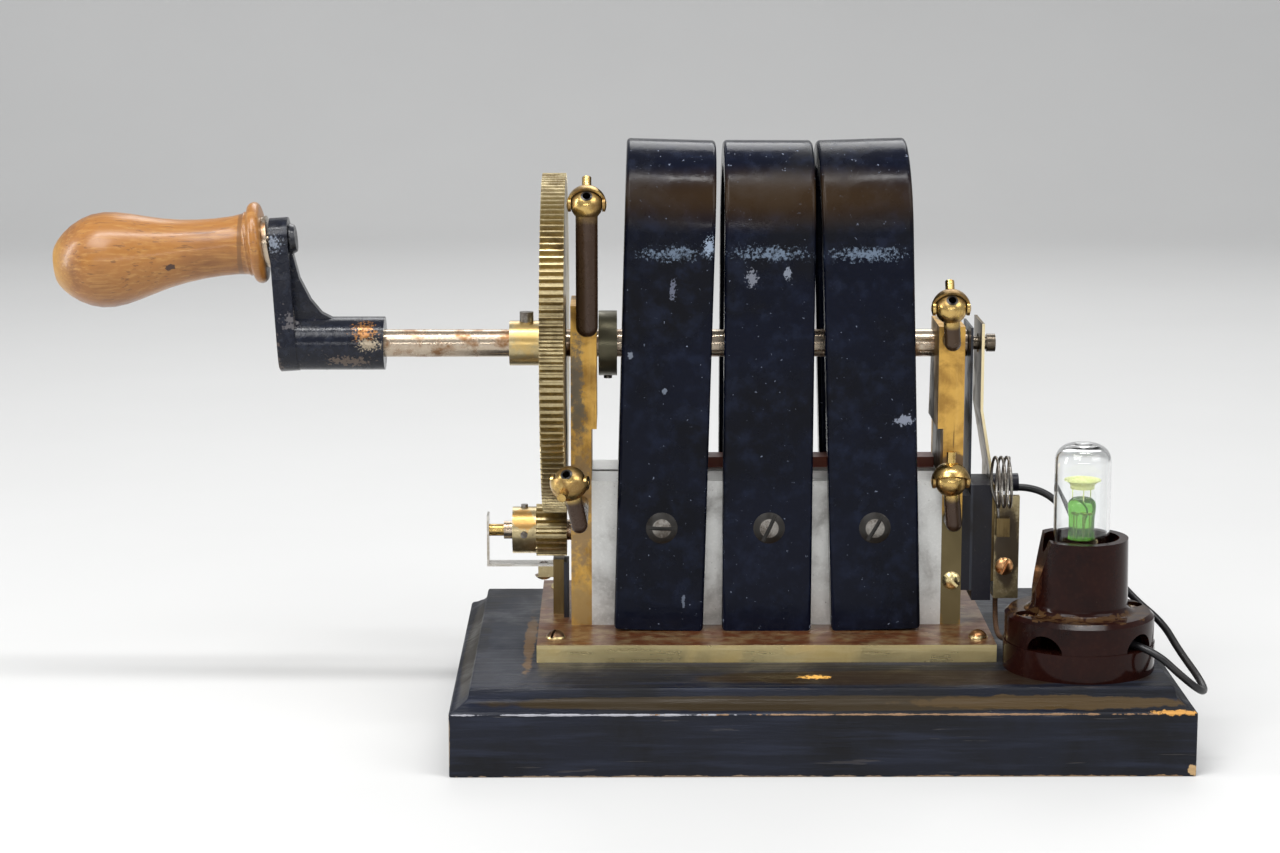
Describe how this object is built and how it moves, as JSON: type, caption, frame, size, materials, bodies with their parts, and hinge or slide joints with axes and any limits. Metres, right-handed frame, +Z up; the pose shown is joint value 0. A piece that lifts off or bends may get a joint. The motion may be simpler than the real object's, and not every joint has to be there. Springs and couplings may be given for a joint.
{
  "type": "hand cranked telephone magneto generator",
  "caption": "Hand cranked magneto with three horseshoe magnets, brass end brackets, gear and wooden crank handle, on a black board with a lamp in a moulded holder.",
  "frame": {"origin": "middle of the baseboard's underside", "axes": "+X to the end away from the crank along the shafts, +Y to the rear, +Z up"},
  "size_m": [0.3251, 0.13, 0.1675],
  "materials": {
    "baseboard_paint": "worn black paint on wood",
    "plate_brass": "worn, lightly tarnished",
    "bracket_brass": "satin, tarnished in patches",
    "oiler_brass": "polished",
    "magnet_enamel": "gloss navy black enamel",
    "pole_iron": "machined, light pitting",
    "shaft_steel": "ground",
    "screw_steel": "satin",
    "gear_metal": "machined",
    "crank_enamel": "gloss black enamel",
    "handle_wood": "varnished",
    "bakelite": "gloss maroon brown",
    "ebonite": "satin",
    "fibre": "red brown fibre",
    "dark_spring": "blued",
    "bright_spring": "bright",
    "leaf_brass": "satin",
    "silk_winding": "covered wire",
    "cable_rubber": "satin black",
    "wire_cotton": "brown braid",
    "lamp_glass": "clear",
    "green_glass": "green tinted",
    "lamp_metal": "bright"
  },
  "bodies": {
    "frame": {"baseboard": "baseboard_paint", "base_plate": "plate_brass", "plate_screws": "plate_brass", "magnet_left": "magnet_enamel", "magnet_middle": "magnet_enamel", "magnet_right": "magnet_enamel", "magnet_screws": "screw_steel", "pole_front": "pole_iron", "pole_rear": "pole_iron", "fibre_strip": "fibre", "bracket_left": "bracket_brass", "bracket_right": "bracket_brass", "small_screws": "plate_brass", "contact_strip_spring": "bright_spring", "contact_clip": "gear_metal", "contact_post": "leaf_brass", "insulating_strip": "dark_spring", "stack_spacer": "ebonite", "inner_leaf": "dark_spring", "spring_block": "ebonite", "contact_leaf": "leaf_brass", "terminal_plate": "gear_metal", "stack_bolts": "screw_steel", "terminal_clamp": "leaf_brass", "coil_stud": "ebonite", "coil_lead": "screw_steel", "lamp_holder_base": "bakelite", "lamp_holder_cap": "bakelite", "holder_screws": "plate_brass", "lamp_socket": "lamp_metal", "socket_contact": "lamp_metal", "lamp_cap": "lamp_metal", "lamp_glass": "lamp_glass", "lamp_inner_bulb": "green_glass", "lamp_ring": "lamp_metal", "lead_black": "cable_rubber", "lead_brown": "wire_cotton", "oiler_tl": "oiler_brass", "oiler_bl": "oiler_brass", "oiler_tr": "oiler_brass", "oiler_br": "oiler_brass"},
    "crank": {"crank_shaft": "shaft_steel", "gear_wheel": "gear_metal", "gear_screw": "screw_steel", "thrust_collar": "gear_metal", "thrust_screw": "screw_steel", "crank_casting": "crank_enamel", "handle_pin": "shaft_steel"},
    "armature": {"armature_core": "pole_iron", "armature_winding": "silk_winding", "armature_shaft": "shaft_steel", "contact_tip": "oiler_brass", "armature_collar": "gear_metal", "collar_screws": "screw_steel", "pinion": "gear_metal"},
    "grip": {"handle_grip": "handle_wood"},
    "cap_tl": {"oiler_cap_tl": "oiler_brass"},
    "cap_bl": {"oiler_cap_bl": "oiler_brass"},
    "cap_tr": {"oiler_cap_tr": "oiler_brass"},
    "cap_br": {"oiler_cap_br": "oiler_brass"}
  },
  "joints": [
    {"name": "crank_spin", "type": "hinge", "parent": "frame", "child": "crank", "pos_m": [0, 0.0084, 0.1083], "axis": [1, 0, 0], "continuous": true},
    {"name": "armature_spin", "type": "hinge", "parent": "frame", "child": "armature", "pos_m": [0, 0.0084, 0.0531], "axis": [1, 0, 0], "continuous": true},
    {"name": "grip_spin", "type": "hinge", "parent": "crank", "child": "grip", "pos_m": [-0.15254, 0.0084, 0.13824], "axis": [-0.9936, 0, -0.1132], "continuous": true},
    {"name": "cap_tl_turn", "type": "hinge", "parent": "frame", "child": "cap_tl", "pos_m": [-0.0643, -0.015, 0.1508], "axis": [-1, 0, 0], "range_deg": [-35, 25]},
    {"name": "cap_bl_turn", "type": "hinge", "parent": "frame", "child": "cap_bl", "pos_m": [-0.06887, -0.038, 0.0764], "axis": [-0.9613, 0.2756, 0], "range_deg": [0, 60]},
    {"name": "cap_tr_turn", "type": "hinge", "parent": "frame", "child": "cap_tr", "pos_m": [0.03801, -0.015, 0.1215], "axis": [-1, 0, 0], "range_deg": [-35, 25]},
    {"name": "cap_br_turn", "type": "hinge", "parent": "frame", "child": "cap_br", "pos_m": [0.03882, -0.015, 0.072], "axis": [-1, 0, 0], "range_deg": [0, 40]}
  ],
  "couplings": [
    {"joint": "armature_spin", "follows": "crank_spin", "ratio": -7}
  ]
}
